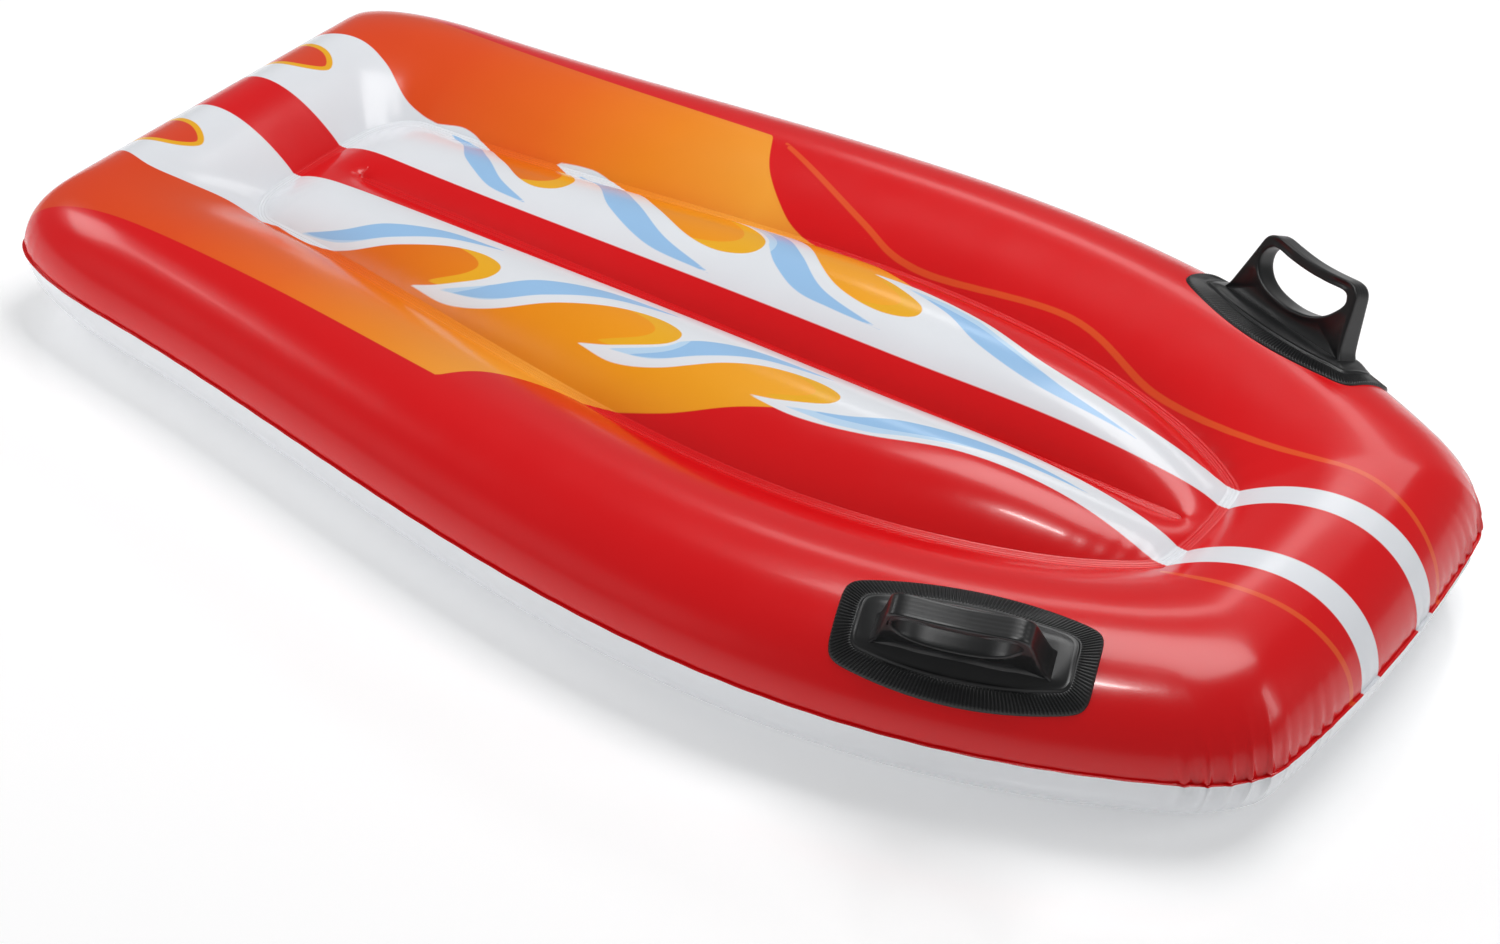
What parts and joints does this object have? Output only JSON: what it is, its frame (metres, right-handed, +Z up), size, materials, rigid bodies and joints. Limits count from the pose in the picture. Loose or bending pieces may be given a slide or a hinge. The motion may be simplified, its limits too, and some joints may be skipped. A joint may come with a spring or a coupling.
{
  "type": "inflatable bodyboard",
  "caption": "Inflatable bodyboard: a printed film ring tube round a two-lobed inflated floor, with moulded loop handles near the nose and push-in air valves underneath.",
  "frame": {"origin": "on the ground, under the middle of the board's overall box", "axes": "X from the tail to the nose, Y to the left of a rider who faces the nose, Z up"},
  "size_m": [1.1263, 0.6261, 0.1735],
  "materials": {
    "printed_film": "gloss printed film",
    "white_film": "gloss film",
    "red_film": "gloss printed film",
    "black_vinyl": "satin moulded vinyl",
    "valve_vinyl": "soft moulded vinyl"
  },
  "bodies": {
    "board": {"ring_top_panel": "printed_film", "ring_bottom_panel": "white_film", "floor_top_panel": "printed_film", "floor_bottom_panel": "white_film", "perimeter_seam": "printed_film", "ring_weld": "printed_film", "centre_weld": "red_film", "handle_left_base": "black_vinyl", "handle_left_grip": "black_vinyl", "handle_right_base": "black_vinyl", "handle_right_grip": "black_vinyl", "floor_valve_flange": "valve_vinyl", "ring_valve_flange": "valve_vinyl"},
    "floor_stem": {"floor_valve_stem": "valve_vinyl"},
    "floor_flap": {"floor_valve_flap": "valve_vinyl"},
    "floor_cap": {"floor_valve_cap": "valve_vinyl", "floor_valve_strap": "valve_vinyl"},
    "ring_stem": {"ring_valve_stem": "valve_vinyl"},
    "ring_flap": {"ring_valve_flap": "valve_vinyl"},
    "ring_cap": {"ring_valve_cap": "valve_vinyl", "ring_valve_strap": "valve_vinyl"}
  },
  "joints": [
    {"name": "floor_stem_slide", "type": "slide", "parent": "board", "child": "floor_stem", "axis": [-0.0564, 0.12, -0.9912], "range_m": [0, 0.012]},
    {"name": "floor_cap_hinge", "type": "hinge", "parent": "floor_stem", "child": "floor_cap", "pos_m": [-0.30898, 0.06149, 0.06916], "axis": [0, 0.9928, 0.1201], "range_deg": [0, 85]},
    {"name": "floor_flap_hinge", "type": "hinge", "parent": "floor_stem", "child": "floor_flap", "pos_m": [-0.30319, 0.05898, 0.08991], "axis": [0, -0.9928, -0.1201], "range_deg": [0, 33], "stiffness_Nm_per_rad": 0.0004, "springref_deg": -11.46},
    {"name": "ring_stem_slide", "type": "slide", "parent": "board", "child": "ring_stem", "axis": [0.7215, 0, -0.6924], "range_m": [0, 0.012]},
    {"name": "ring_cap_hinge", "type": "hinge", "parent": "ring_stem", "child": "ring_cap", "pos_m": [-0.46742, 0.0112, 0.02664], "axis": [0.6924, 0, 0.7215], "range_deg": [0, 85]},
    {"name": "ring_flap_hinge", "type": "hinge", "parent": "ring_stem", "child": "ring_flap", "pos_m": [-0.48272, 0.0066, 0.04132], "axis": [-0.6924, 0, -0.7215], "range_deg": [0, 60], "stiffness_Nm_per_rad": 0.0004, "springref_deg": -11.46}
  ]
}
